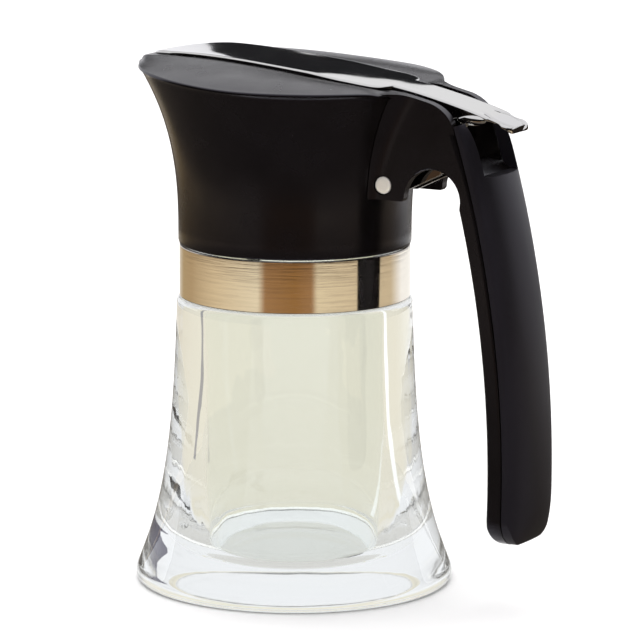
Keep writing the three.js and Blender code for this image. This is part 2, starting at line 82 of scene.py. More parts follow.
# Steel collar
COLLAR_R = top_of("steel_collar").y
COLLAR_WALL = 1
COLLAR_BASE_Z = foot_of("steel_collar").z
COLLAR_TOP_Z = top_of("steel_collar").z
COLLAR_EDGE = 0.2

# Head: outside radius grows as a power of the height above HEAD_FLARE_Z
HEAD_BASE_Z = foot_of("head").z
HEAD_R = 31.8
HEAD_FLARE = 9.6
HEAD_FLARE_Z = 96
HEAD_FLARE_HEIGHT = 44.5
HEAD_FLARE_POWER = 2.6
HEAD_EDGE_ROUND = 1
HEAD_BORE_R = 25
HEAD_BORE_TOP_Z = 132
BEAK_REACH = 4.6
BEAK_SPREAD = 15
RIM_ROUND = 0.7
RIM_HEIGHTS = [
    (0, 136.6), (15, 137.0), (25, 138.0), (35, 139.1), (60, 139.5),
    (90, 140.0), (130, 141.9), (155, 142.3), (180, 141.3),
]
SEAT_MARGIN = 1
SEAT_BACK = 38.5
SEAT_FRONT = 44
MOUTH_TIP_X = -41.4
MOUTH_BACK_X = 4
MOUTH_HALF = 9.5
MOUTH_WIDE_X = -27
MOUTH_RAMP_X = -24
MOUTH_LIP_Z = 139.8
POCKET_GAP = 0.9
POCKET_SIDE_GAP = 1

# Steel lid and thumb lever: one arched sheet
LID_T = 0.8
LID_SEAT = LID_T + GAP
LID_TIP_X = foot_of("lid_lever").x
LID_WIDE_X = -26
LID_HALF = top_of("lid_lever").y
LID_SHOULDER_X = 24
LEVER_HALF = 7
LEVER_ROOT_X = 33.5
LEVER_END_X = top_of("lid_lever").x
LEVER_CORNER = 2.6
LEVER_NOTCH_X = 63.5
LEVER_NOTCH_R = 2.6
LEVER_NOTCH_DEPTH = 1.1
LEVER_LIP = 0.8
LID_DISH = 0.32
LID_CROWN = 0.42
PRESS_START_X = -2
PRESS_END_X = 24
CROWN_FADE_X = 32
BEAD_R = 4.9
BEAD_HALF = 0.5
BEAD_DEPTH = 0.22
ROLL_WIDTH = 1.1
ROLL_DROP = 0.45
LID_HEIGHTS = [
    (-50, 142.6), (-43, 144.0), (-36, 145.0), (-27, 145.4), (-18, 145.15), (-9, 144.55),
    (0, 143.7), (9, 142.75), (18, 141.8), (27, 140.75), (34, 139.6), (40, 138.45),
    (46, 137.1), (52, 135.6), (58, 133.9), (64, 131.85), (70, 129.4),
]

# Hinge pin and the legs that reach down to it
PIN_X = 33.6
PIN_Z = 113.5
PIN_R = 1.6
PIN_HEAD_R = 2.35
PIN_WELL_R = 2.6
PIN_HEAD_T = 0.9
LEG_BOSS_R = 3.5
LEG_T = 1
LEG_BITE = 0.4
LEG_TOP_FRONT = (41.5, 57)
LEG_KNEE = (47.8, 116.4)
LEG_BACK_X = 48.8
LEG_HEEL_Z = 132.2
LEG_HEEL_END_X = 60
CURL_X = 56.8
CURL_Y = 6.6
CURL_Z = 131.9
CURL_SIZE = (4.2, 1.9, 1.5)

# Handle: concentric arcs about (HANDLE_ARC_X, HANDLE_ARC_Z)
HANDLE_ARC_Z = 35
HANDLE_INNER_R = 300
HANDLE_INNER_X = 65.3
HANDLE_ARC_X = HANDLE_INNER_X - HANDLE_INNER_R
FRAME_T = 4.3
FRAME_R = HANDLE_INNER_R + FRAME_T
BACK_T = 5.38
HANDLE_HALF = top_of("handle_back").y
HANDLE_END_Z = foot_of("handle_frame").z
HANDLE_END_ROUND = 9
EDGE_R = 0.8
CHEEK_EDGE_R = 1.6
CHEEK_T = 2.7
CHANNEL_HALF = HANDLE_HALF - CHEEK_T
CHEEK_TOP_DROP = 0.3
CHEEK_CORNER_X = 47.5
CHEEK_CORNER_ANGLE = 18.2
CHEEK_TOP_X = 42
ARCH_X = 48.1
ARCH_Z = 110.4
ARCH_R = 8.2
ROOT_LOW_Z = 109.6
ROOT_FRONT_X = 22
BLEND_HALF = 19
BLEND_LOW_Z = 106
BLEND_TOP_Z = 142
BLEND_FLARE = 2.8
BLEND_GROWTH = 28
BLEND_FILLET = 1.2
BLEND_BITE = 4
BLEND_FAR_X = 90
BLEND_REACH_X = 43
BLEND_EDGE_Z = 129
BACK_EDGE_T = 0.8
BACK_END_RISE = 13
BACK_TOP_RISE = 9
NOTCH_FLOOR_Z = 117.3
WALL_FRONT_X = ARCH_X + 6.2
WALL_FOOT_T = 3
WALL_FLOOR_T = 6.2
WALL_TOP_T = 1.6
WALL_TOP_Z = 120.5
END_ANGLE = math.degrees(math.asin((HANDLE_END_Z - HANDLE_ARC_Z) / FRAME_R))


# Mesh helpers


def steps(start, end, count):
    return [start + (end - start) * i / count for i in range(count + 1)]


def eased_step(t):
    t = min(1.0, max(0.0, t))
    return t * t * (3 - 2 * t)


def height_curve(pairs):
    """Smooth curve through (position, height) pairs, read at any position."""

    def through(a, b, c, d, t):
        pull, push = (c - a) / 2, (d - b) / 2
        return (
            (2 * b - 2 * c + pull + push) * t**3
            + (-3 * b + 3 * c - 2 * pull - push) * t**2
            + pull * t
            + b
        )

    def point(u):
        place = (len(pairs) - 1) * u
        i = min(int(place), len(pairs) - 2)
        near = [pairs[max(0, min(len(pairs) - 1, i + k))] for k in (-1, 0, 1, 2)]
        return [through(*(p[axis] for p in near), place - i) for axis in (0, 1)]

    def read(target):
        low, high = 0.0, 1.0
        for _ in range(24):
            mid = (low + high) / 2
            if point(mid)[0] < target:
                low = mid
            else:
                high = mid
        return point((low + high) / 2)[1]

    return read


def shade(obj, sharp=32):
    """Smooth shading with edges kept crisp above an angle in degrees."""
    obj.data.shade_smooth()
    obj.data.set_sharp_from_angle(angle=math.radians(sharp))
    return obj


def make(name, points, faces, sharp=32):
    """Mesh object from points in millimetres, with its normals turned outwards."""
    mesh = bpy.data.meshes.new(name)
    mesh.from_pydata([Vector(p) * MM for p in points], [], faces)
    work = bmesh.new()
    work.from_mesh(mesh)
    bmesh.ops.remove_doubles(work, verts=work.verts, dist=1e-8)
    bmesh.ops.recalc_face_normals(work, faces=work.faces)
    work.to_mesh(mesh)
    work.free()
    obj = bpy.data.objects.new(name, mesh)
    bpy.context.scene.collection.objects.link(obj)
    return shade(obj, sharp)


def skin(name, rings, sharp=32):
    """Closed mesh over rings with equal point counts, with its end rings filled."""
    count = len(rings[0])
    points = [p for ring in rings for p in ring]
    faces = []
    for k in range(len(rings) - 1):
        a, b = k * count, (k + 1) * count
        for i in range(count):
            j = (i + 1) % count
            faces.append((a + i, a + j, b + j, b + i))
    faces.append(tuple(range(count)))
    faces.append(tuple(range(len(points) - count, len(points))))
    return make(name, points, faces, sharp)


def turned(name, profile, sides=160):
    """Solid of revolution about Z from (radius, height) pairs. The profile starts and
    ends on the axis, where a small ring is closed by a face."""
    pole = 0.02
    turns = steps(0, 2 * math.pi, sides)[:-1]
    rings = []
    for r, z in profile:
        r = max(r, pole)
        rings.append([(r * math.cos(t), r * math.sin(t), z) for t in turns])
    return skin(name, rings)


def arc(cx, cy, r, start, end, count):
    turns = [math.radians(a) for a in steps(start, end, count)]
    return [(cx + r * math.cos(t), cy + r * math.sin(t)) for t in turns]


def bezier(a, b, c, d, count):
    """Points on a cubic from a to d, without a itself."""
    out = []
    for t in steps(0, 1, count)[1:]:
        s = 1 - t
        weights = (s**3, 3 * s * s * t, 3 * s * t * t, t**3)
        out.append(tuple(sum(w * p[k] for w, p in zip(weights, (a, b, c, d))) for k in (0, 1)))
    return out


def quadratic(a, b, c, count):
    first = tuple(a[k] + (b[k] - a[k]) * 2 / 3 for k in (0, 1))
    second = tuple(c[k] + (b[k] - c[k]) * 2 / 3 for k in (0, 1))
    return bezier(a, first, second, c, count)


def inset(outline, depths):
    """The outline moved inwards, by a depth for each corner."""
    area = sum(a[0] * b[1] - b[0] * a[1] for a, b in zip(outline, outline[1:] + outline[:1]))
    turn = 1 if area > 0 else -1
    out = []
    for i, point in enumerate(outline):
        p = Vector(point)
        before = (p - Vector(outline[i - 1])).normalized()
        after = (Vector(outline[(i + 1) % len(outline)]) - p).normalized()
        along = (before + after).normalized()
        inward = Vector((-along.y, along.x)) * turn
        stretch = max(0.5, along.dot(after))
        out.append(tuple(p + inward * depths[i] / stretch))
    return out


def side_slab(name, outline, near, far, rounding=None, count=4):
    """Slab of an outline in the XZ plane from y = near to far. Where rounding gives an
    edge radius by height, the edges are rounded, with a flat margin inside them so that
    the sides reflect as true planes."""
    if rounding is None:
        return skin(name, [[(x, y, z) for x, z in outline] for y in (near, far)])
    radii = [rounding(z) for _, z in outline]

    def ring(margin, turn):
        lean, drop = 1 - math.sin(turn), 1 - math.cos(turn)
        moved = inset(outline, [margin + r * lean for r in radii])
        return [(x, near + r * drop, z) for (x, z), r in zip(moved, radii)]

    rings = [ring(0.15, 0), ring(0.02, 0)]
    rings += [ring(0, math.radians(t)) for t in steps(0, 90, count)]
    mirrored = [[(x, near + far - y, z) for x, y, z in points] for points in rings]
    return skin(name, rings + mirrored[::-1])


def plan_slab(name, outline, low, high):
    return skin(name, [[(x, y, z) for x, y in outline] for z in (low, high)])


def cross_rod(name, x, z, r, near, far):
    """Rod along Y, for bores and other round cuts."""
    sides = 64
    ring = arc(x, z, r, 0, 360, sides)[:-1]
    return skin(name, [[(px, y, pz) for px, pz in ring] for y in (near, far)])


def shape_by(obj, tool, operation, sharp=32):
    """Joins, cuts or trims obj by tool, and removes the tool."""
    change = obj.modifiers.new("shape", "BOOLEAN")
    change.operation = operation
    change.solver = "MANIFOLD"
    change.object = tool
    depsgraph = bpy.context.evaluated_depsgraph_get()
    mesh = bpy.data.meshes.new_from_object(obj.evaluated_get(depsgraph))
    obj.modifiers.clear()
    old = obj.data
    obj.data = mesh
    mesh.name = old.name
    bpy.data.meshes.remove(old)
    bpy.data.objects.remove(tool)
    return shade(obj, sharp)


def dress(obj, material, body, node):
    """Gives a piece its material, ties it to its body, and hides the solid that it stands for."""
    obj.data.materials.clear()
    obj.data.materials.append(material)
    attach(obj, body)
    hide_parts(node)


# Shader helpers


def srgb(code):
    """Linear colour of an sRGB hex value."""
    parts = [int(code[i : i + 2], 16) / 255 for i in (1, 3, 5)]
    linear = [p / 12.92 if p <= 0.04045 else ((p + 0.055) / 1.055) ** 2.4 for p in parts]
    return (*linear, 1.0)


def add(tree, kind, inputs=None, **settings):
    """Adds a node with its settings, and fills or links its inputs."""
    node = tree.nodes.new(kind)
    for key, value in settings.items():
        setattr(node, key, value)
    for key, value in (inputs or {}).items():
        if isinstance(value, bpy.types.NodeSocket):
            tree.links.new(value, node.inputs[key])
        else:
            node.inputs[key].default_value = value
    return node


def surface(name, **uniform):
    """Material with a Principled shader; uniform values go straight on its sockets."""
    material = bpy.data.materials.new(name)
    material.use_nodes = True
    tree = material.node_tree
    shader = tree.nodes["Principled BSDF"]
    for key, value in uniform.items():
        shader.inputs[key.replace("_", " ")].default_value = value
    place = add(tree, "ShaderNodeTexCoord").outputs["Object"]
    return material, tree, shader, place


def grains(tree, place, size_mm, detail=2.0, stretch=(1, 1, 1)):
    """Noise whose features measure size_mm, divided by stretch along each axis."""
    scaled = add(tree, "ShaderNodeMapping", {"Vector": place, "Scale": stretch})
    per_metre = 1 / (size_mm * MM)
    return add(
        tree,
        "ShaderNodeTexNoise",
        {"Vector": scaled.outputs[0], "Scale": per_metre, "Detail": detail},
    ).outputs["Fac"]


def spread(tree, value, low, high, start=0.3, end=0.7):
    """Maps a noise value onto the range from low to high."""
    return add(
        tree,
        "ShaderNodeMapRange",
        {"Value": value, "From Min": start, "From Max": end, "To Min": low, "To Max": high},
    ).outputs[0]


def relief(tree, height, depth_mm, strength=1.0, normal=None):
    """Bump of a depth in millimetres, laid over another normal where one is given."""
    inputs = {"Height": height, "Distance": depth_mm * MM, "Strength": strength}
    if normal is not None:
        inputs["Normal"] = normal
    return add(tree, "ShaderNodeBump", inputs).outputs["Normal"]


def blend_colours(tree, factor, first, second):
    return add(
        tree,
        "ShaderNodeMix",
        {"Factor": factor, 6: srgb(first), 7: srgb(second)},
        data_type="RGBA",
    ).outputs[2]


# Materials


def pressed_glass():
    """Clear soda-lime glass, pressed: no colour, fire-polished, with the slow waves that
    the mould leaves, which bend what is seen through it into streaks. The waves fade out
    in the foot."""
    material, tree, shader, place = surface(
        "clear_pressed_glass",
        Base_Color=srgb("#f7faf8"),
        Roughness=0.0,
        IOR=1.52,
        Transmission_Weight=1.0,
    )
    waves = grains(tree, place, 9, 1.0, (1, 1, 0.35))
    ripples = grains(tree, place, 3, 1.0, (1, 1, 0.3))
    height = add(tree, "ShaderNodeSeparateXYZ", {0: place}).outputs["Z"]
    still_z, full_z = 1 * MM, 14 * MM
    calm = spread(tree, height, 0, 1, still_z, full_z)
    slow = relief(tree, waves, 0.16, calm)
    fast = relief(tree, ripples, 0.015, calm, slow)
    tree.links.new(fast, shader.inputs["Normal"])
    return material


def polished_steel(name, tint, haze, drawn_axis):
    """Stainless sheet, buffed: a mirror with a faint grain along its last polishing."""
    material, tree, shader, place = surface(name, Base_Color=srgb(tint), Metallic=1.0)
    stretch = [1.0, 1.0, 1.0]
    stretch[drawn_axis] = 0.02
    grain = grains(tree, place, 0.6, 3.0, tuple(stretch))
    cloud = grains(tree, place, 14, 2.0)
    mixed = add(tree, "ShaderNodeMath", {0: grain, 1: cloud}, operation="MULTIPLY").outputs[0]
    rough = spread(tree, mixed, haze * 0.7, haze * 1.5, 0.15, 0.4)
    tree.links.new(rough, shader.inputs["Roughness"])
    tree.links.new(relief(tree, grain, 0.002), shader.inputs["Normal"])
    return material


def turned_steel():
    """Stainless band, spun and buffed: a mirror with hair-fine rings round it, drawn at
    0.5 mm so that they show."""
    material, tree, shader, place = surface(
        "spun_polished_stainless", Base_Color=srgb("#e2dcd2"), Metallic=1.0
    )
    rings = grains(tree, place, 12, 2.0, (1, 1, 24))
    rough = spread(tree, rings, 0.05, 0.12)
    tree.links.new(rough, shader.inputs["Roughness"])
    tree.links.new(relief(tree, rings, 0.006), shader.inputs["Normal"])
    return material


def moulded_plastic(name, dark, light, rough, grain_mm, streak, level):
    """Black plastic from a spark-eroded mould: satin, with a fine even grain that breaks
    up its highlights and a slight change of tone over the surface. It serves the hard
    parts and the softer grip, which differ in roughness, grain and level."""
    # The lilac specular tint is painted colour on the sheen's reflections.
    material, tree, shader, place = surface(
        name, IOR=1.49, Specular_IOR_Level=level, Specular_Tint=srgb("#dedaf3")
    )
    grain = grains(tree, place, grain_mm, 2.0)
    cloud = grains(tree, place, 11, 3.0, (1, 1, streak))
    colour = blend_colours(tree, spread(tree, cloud, 0, 1), dark, light)
    tree.links.new(colour, shader.inputs["Base Color"])
    tree.links.new(spread(tree, cloud, rough - 0.04, rough + 0.05), shader.inputs["Roughness"])
    tree.links.new(relief(tree, grain, 0.012), shader.inputs["Normal"])
    return material


def pin_steel():
    """Plated steel pin, tumbled: dull and pale, with small dents from tumbling."""
    material, tree, shader, place = surface(
        "tumbled_plated_steel", Base_Color=srgb("#fbf6ec"), Metallic=0.6
    )
    dents = grains(tree, place, 0.9, 1.0)
    tree.links.new(spread(tree, dents, 0.16, 0.26), shader.inputs["Roughness"])
    tree.links.new(relief(tree, dents, 0.02), shader.inputs["Normal"])
    return material


# Glass jar


def jar_radius(z):
    return JAR_WAIST_R + JAR_FLARE * math.exp(-z / JAR_FLARE_HEIGHT)


def glass_jar():
    foot_r = jar_radius(JAR_FOOT_ROUND) - JAR_FOOT_INSET
    profile = [(r, 0.0) for r in (0, 12, 24, 34)]
    profile += arc(foot_r - JAR_FOOT_ROUND, JAR_FOOT_ROUND, JAR_FOOT_ROUND, -90, 0, 8)
    pull = (foot_r + JAR_FOOT_PULL[0], JAR_FOOT_PULL[1])
    wall_start = (jar_radius(JAR_FOOT_TOP_Z), JAR_FOOT_TOP_Z)
    profile += quadratic((foot_r, JAR_FOOT_ROUND), pull, wall_start, 5)
    wall = steps(JAR_FOOT_TOP_Z + 1, JAR_SHOULDER_Z - JAR_SHOULDER_ROUND, 48)
    profile += [(jar_radius(z), z) for z in wall]
    edge_r = jar_radius(JAR_SHOULDER_Z)
    centre = (edge_r - JAR_SHOULDER_ROUND, JAR_SHOULDER_Z - JAR_SHOULDER_ROUND)
    profile += arc(*centre, JAR_SHOULDER_ROUND, 8, 90, 6)
    e = JAR_TOP_ROUND
    profile += [(JAR_NECK_R, JAR_SHOULDER_Z), (JAR_NECK_R, JAR_TOP_Z - e)]
    profile += arc(JAR_NECK_R - e, JAR_TOP_Z - e, e, 15, 90, 4)
    profile += arc(JAR_BORE_R + e, JAR_TOP_Z - e, e, 90, 180, 4)
    floor_r = JAR_BORE_R - JAR_FLOOR_ROUND
    bend_z = JAR_FLOOR_Z + JAR_FLOOR_ROUND
    profile += [(JAR_BORE_R, z) for z in steps(JAR_TOP_Z - 4, bend_z + 2, 18)]
    profile += arc(floor_r, bend_z, JAR_FLOOR_ROUND, 0, -90, 12)
    profile += [(floor_r * u, JAR_FLOOR_Z) for u in (0.7, 0.35, 0.0)]
    jar = turned("jar", profile, sides=192)
    dress(jar, pressed_glass(), "jug", "glass_jar")


# Steel collar


def ring_tree():
    """Geometry Nodes tree that sweeps a closed profile round a circle. The profile's X is
    the distance outside the circle, and its Y points down."""
    tree = bpy.data.node_groups.new("swept_ring", "GeometryNodeTree")
    sockets = {"Profile": "Geometry", "Radius": "Float", "Sides": "Int", "Metal": "Material"}
    for label, kind in sockets.items():
        tree.interface.new_socket(label, in_out="INPUT", socket_type="NodeSocket" + kind)
    tree.interface.new_socket("Ring", in_out="OUTPUT", socket_type="NodeSocketGeometry")
    given = add(tree, "NodeGroupInput").outputs
    profile = add(tree, "GeometryNodeMeshToCurve", {"Mesh": given["Profile"]})
    sizes = {"Radius": given["Radius"], "Resolution": given["Sides"]}
    circle = add(tree, "GeometryNodeCurvePrimitiveCircle", sizes)
    curves = {"Curve": circle.outputs["Curve"], "Profile Curve": profile.outputs["Curve"]}
    swept = add(tree, "GeometryNodeCurveToMesh", curves)
    whole = add(tree, "GeometryNodeRealizeInstances", {"Geometry": swept.outputs["Mesh"]})
    look = {"Geometry": whole.outputs["Geometry"], "Material": given["Metal"]}
    dressed = add(tree, "GeometryNodeSetMaterial", look)
    add(tree, "NodeGroupOutput", {"Ring": dressed.outputs["Geometry"]})
    return tree


def swept_ring(name, profile, radius, sides, metal):
    """Plain mesh ring made by the tree from (radius, height) pairs in millimetres."""
    points = [((r - radius) * MM, -z * MM, 0) for r, z in reversed(profile)]
    edges = [(i, (i + 1) % len(points)) for i in range(len(points))]
    outline = bpy.data.meshes.new(name + "_profile")
    outline.from_pydata(points, edges, [])
    ring = bpy.data.objects.new(name, outline)
    bpy.context.scene.collection.objects.link(ring)
    sweep = ring.modifiers.new("sweep", "NODES")
    tree = ring_tree()
    values = {"Radius": radius * MM, "Sides": sides, "Metal": metal}
    sweep.node_group = tree
    for item in tree.interface.items_tree:
        if item.name in values:
            sweep[item.identifier] = values[item.name]
    graph = bpy.context.evaluated_depsgraph_get()
    plain = bpy.data.meshes.new_from_object(ring.evaluated_get(graph))
    ring.modifiers.remove(sweep)
    ring.data = plain
    return shade(ring)


def steel_collar():
    inner = COLLAR_R - COLLAR_WALL
    e = COLLAR_EDGE
    profile = arc(COLLAR_R - e, COLLAR_BASE_Z + e, e, -90, 0, 5)
    band_z = steps(COLLAR_BASE_Z + e + 0.1, COLLAR_TOP_Z - e - 0.1, 12)
    profile += [(COLLAR_R, z) for z in band_z]
    profile += arc(COLLAR_R - e, COLLAR_TOP_Z - e, e, 0, 90, 5)
    profile += [(inner, COLLAR_TOP_Z), (inner, COLLAR_BASE_Z)]
    metal = turned_steel()
    band = swept_ring("collar", profile, inner, 192, metal)
    dress(band, metal, "jug", "steel_collar")


# Head

lid_z = height_curve(LID_HEIGHTS)
rim_curve = height_curve(RIM_HEIGHTS)


def seat_z(x):
    """Height of the head's top under the lid, which lies closer at the front."""
    return lid_z(x) - LID_T - 0.15 - (GAP - 0.15) * eased_step((x - 4) / 16)


def head_radius(angle, z):
    rise = max(0, (z - HEAD_FLARE_Z) / HEAD_FLARE_HEIGHT) ** HEAD_FLARE_POWER
    from_beak = (180 - abs(angle)) / BEAK_SPREAD
    return HEAD_R + rise * (HEAD_FLARE + BEAK_REACH * math.exp(-(from_beak**2)))


def seat_radius(angle):
    c = math.cos(math.radians(angle))
    s = abs(math.sin(math.radians(angle)))
    reach = SEAT_BACK if c > 0 else SEAT_FRONT
    return 1 / ((abs(c) / reach) ** 4 + (s / (LID_HALF + SEAT_MARGIN)) ** 4) ** 0.25


def head_outside(name, grow=0.0):
    """The head's outside: flared wall, rounded rim and a top that rises to the lid's
    seat. grow thickens it, for cutting the handle to fit."""
    sides = 180
    angles = steps(-180, 180, sides)[:-1]
    heights = {a: rim_curve(abs(a)) for a in angles}

    def at(angle, r, z):
        t = math.radians(angle)
        return (r * math.cos(t), r * math.sin(t), z)

    rings = []
    for t in (0, 30, 60, 90):
        r = HEAD_R + grow - HEAD_EDGE_ROUND * (1 - math.sin(math.radians(t)))
        z = HEAD_BASE_Z - grow + HEAD_EDGE_ROUND * (1 - math.cos(math.radians(t)))
        rings.append([at(a, r, z) for a in angles])
    for u in steps(0.05, 0.97, 44):
        ring = []
        for a in angles:
            z = HEAD_BASE_Z + u**0.8 * (heights[a] - HEAD_BASE_Z)
            ring.append(at(a, head_radius(a, z) + grow, z))
        rings.append(ring)
    for t in steps(0, 90, 5):
        lean = RIM_ROUND * (1 - math.cos(math.radians(t)))
        lift = RIM_ROUND * (math.sin(math.radians(t)) - 1)
        ring = []
        for a in angles:
            r = head_radius(a, heights[a]) - lean + grow
            ring.append(at(a, r, heights[a] + lift + grow))
        rings.append(ring)
    for u in steps(0, 1, 14)[1:]:
        ring = []
        for a in angles:
            rim_r = head_radius(a, heights[a]) - RIM_ROUND + grow
            seat_r = min(seat_radius(a), rim_r - 1)
            seat = seat_z(seat_r * math.cos(math.radians(a)))
            rise = (seat - heights[a]) * u * (2 - u)
            ring.append(at(a, rim_r + (seat_r - rim_r) * u, heights[a] + rise + grow))
        rings.append(ring)
    for u in (0.9, 0.75, 0.55, 0.35, 0.15, 0.01):
        ring = []
        for a in angles:
            rim_r = head_radius(a, heights[a]) - RIM_ROUND
            r = min(seat_radius(a), rim_r - 1) * u
            ring.append(at(a, r, seat_z(r * math.cos(math.radians(a))) + grow))
        rings.append(ring)
    return skin(name, rings)


def pouring_mouth():
    """Opening down to the bore: a leaf in plan, with a ramp up to the beak's lip."""
    tip, back, half = MOUTH_TIP_X, MOUTH_BACK_X, MOUTH_HALF
    widest = (MOUTH_WIDE_X, -half)
    near = bezier((tip, 0), (tip, -4), (-36, -half + 0.5), widest, 12)
    near += bezier(widest, (-12, -half - 0.5), (back, -7.5), (back, 0), 16)
    outline = near + [(x, -y) for x, y in near[-2::-1]] + [(tip, 0)]
    low, high = HEAD_BORE_TOP_Z - 1, 150
    well = plan_slab("mouth", outline, low - 1, high + 1)
    side = [
        (MOUTH_RAMP_X, low), (back + 1, low), (back + 1, high), (tip - 3, high),
        (tip - 3, MOUTH_LIP_Z + 1.6), (tip + 1, MOUTH_LIP_Z),
    ]
    ramp = side_slab("ramp", side, -2 * half, 2 * half)
    return shape_by(well, ramp, "INTERSECT")


def head(plastic):
    body = head_outside("head_shell")
    r, low, top, chamfer = HEAD_BORE_R, HEAD_BASE_Z - 1, HEAD_BORE_TOP_Z, 3
    profile = [(0, low), (r, low), (r, top - chamfer), (r - chamfer, top), (0, top)]
    shape_by(body, turned("bore", profile), "DIFFERENCE")
    shape_by(body, pouring_mouth(), "DIFFERENCE")
    half = LEVER_HALF + POCKET_SIDE_GAP
    pocket = cross_rod("pocket", PIN_X, PIN_Z, LEG_BOSS_R + POCKET_GAP, -half, half)
    shape_by(body, pocket, "DIFFERENCE")
    dress(body, plastic, "jug", "head")


# Handle


def on_handle(radius, angle):
    """Point in the side view at a radius and an angle of the handle's arcs."""
    t = math.radians(angle)
    return (HANDLE_ARC_X + radius * math.cos(t), HANDLE_ARC_Z + radius * math.sin(t))


def end_rounding():
    """Keeps what lies inside the handle's rounded lower end, as seen from the front."""
    r, h, low = HANDLE_END_ROUND, HANDLE_HALF, HANDLE_END_Z
    outline = [(-BLEND_HALF, 150), (-BLEND_HALF, BLEND_LOW_Z), (-h, BLEND_LOW_Z)]
    outline += arc(-h + r, low + r, r, 180, 270, 12)
    outline += arc(h - r, low + r, r, 270, 360, 12)
    outline += [(h, BLEND_LOW_Z), (BLEND_HALF, BLEND_LOW_Z), (BLEND_HALF, 150)]
    return skin("end", [[(x, y, z) for y, z in outline] for x in (0, 95)])


def channel():
    """Room between the cheeks for the lever."""
    outline = [
        (10, ROOT_LOW_Z - 4), (ARCH_X + 6.5, ROOT_LOW_Z - 4), (ARCH_X + 8, ROOT_LOW_Z + 1),
        (ARCH_X + 11.7, NOTCH_FLOOR_Z), (90, NOTCH_FLOOR_Z), (90, 160), (10, 160),
    ]
    return side_slab("channel", outline, -CHANNEL_HALF, CHANNEL_HALF)


def channel_wall():
    """Wall that joins the cheeks behind the arch and closes the channel below, cut back
    to the arch's own round."""
    front = WALL_FRONT_X
    outline = [
        (front, ARCH_Z), (front + WALL_FOOT_T, ARCH_Z), (front + WALL_FLOOR_T, NOTCH_FLOOR_Z),
        (front + WALL_TOP_T, WALL_TOP_Z), (front, WALL_TOP_Z),
    ]
    wall = side_slab("channel_wall", outline, -CHANNEL_HALF - 0.5, CHANNEL_HALF + 0.5)
    arch = cross_rod("arch", ARCH_X, ARCH_Z, ARCH_R, -HANDLE_HALF, HANDLE_HALF)
    return shape_by(wall, arch, "DIFFERENCE")


def root_blend():
    """Sides of the handle's root: flat cheeks that flare in a soft fillet onto the head.
    Up to BLEND_EDGE_Z they stop at BLEND_REACH_X, so that the cheeks' edges stay round."""
    rings = []
    for z in steps(BLEND_LOW_Z, BLEND_TOP_Z, 18):
        r = head_radius(25, z)
        flare = BLEND_FLARE * (1 + (z - PIN_Z) / BLEND_GROWTH)
        corner_x = math.sqrt(r**2 - HANDLE_HALF**2)
        edge_y = HANDLE_HALF + flare
        edge_x = math.sqrt(r**2 - edge_y**2)
        start = (corner_x + BLEND_FILLET * flare, HANDLE_HALF)
        reach = BLEND_FAR_X if z > BLEND_EDGE_Z else BLEND_REACH_X
        half = [(reach, HANDLE_HALF), start]
        half += quadratic(start, (corner_x, HANDLE_HALF), (edge_x, edge_y), 10)
        half.append((edge_x - BLEND_BITE, edge_y))
        outline = half + [(x, -y) for x, y in half[::-1]]
        rings.append([(x, y, z) for x, y in outline])
    return skin("blend", rings)


def frame_outline():
    """Side view of the frame: up the inside, round the arch, over the cheeks and down."""
    inner = on_handle(HANDLE_INNER_R, END_ANGLE + 1.4)
    corner = on_handle(FRAME_R, CHEEK_CORNER_ANGLE)
    outline = [on_handle(HANDLE_INNER_R, a) for a in steps(END_ANGLE + 2.2, 14.2, 30)]
    outline += arc(ARCH_X, ARCH_Z, ARCH_R, 0, 180, 28)
    outline += [
        (ARCH_X - ARCH_R - 0.6, ROOT_LOW_Z),
        (ROOT_FRONT_X, ROOT_LOW_Z),
        (ROOT_FRONT_X, lid_z(ROOT_FRONT_X) - LID_SEAT - 0.6),
    ]
    tops = steps(CHEEK_TOP_X - 3, CHEEK_CORNER_X, 8)
    outline += [(x, lid_z(x) - CHEEK_TOP_DROP) for x in tops]
    outline += quadratic(outline[-1], (corner[0] - 1.4, corner[1] + 4.6), corner, 10)
    outline += [on_handle(FRAME_R, a) for a in steps(CHEEK_CORNER_ANGLE - 0.5, END_ANGLE, 36)]
    outline.append((inner[0] + FRAME_T - 1.2, HANDLE_END_Z))
    outline += quadratic(outline[-1], (inner[0] + 0.2, HANDLE_END_Z), inner, 6)
    return outline


def handle_frame(plastic):
    """Hard inner half of the handle, with the root, the cheeks and the pin's hole."""
    outline = frame_outline()

    def edge_radius(z):
        return EDGE_R + (CHEEK_EDGE_R - EDGE_R) * eased_step((z - 116) / 12)

    body = side_slab("handle_side", outline, -HANDLE_HALF, HANDLE_HALF, edge_radius, 6)
    root = side_slab("root", outline, -BLEND_HALF, BLEND_HALF)
    shape_by(root, root_blend(), "INTERSECT")
    shape_by(body, root, "UNION")
    shape_by(body, channel(), "DIFFERENCE")
    shape_by(body, channel_wall(), "UNION")
    shape_by(body, head_outside("fit", GAP), "DIFFERENCE")
    shape_by(body, end_rounding(), "INTERSECT")
    hole = cross_rod("hole", PIN_X, PIN_Z, PIN_R + GAP, -BLEND_HALF, BLEND_HALF)
    shape_by(body, hole, "DIFFERENCE")
    depth = HANDLE_HALF - PIN_HEAD_T - GAP
    for near, far in ((-BLEND_HALF, -depth), (depth, BLEND_HALF)):
        well = cross_rod("well", PIN_X, PIN_Z, PIN_WELL_R, near, far)
        shape_by(body, well, "DIFFERENCE")
    dress(body, plastic, "jug", "handle_frame")


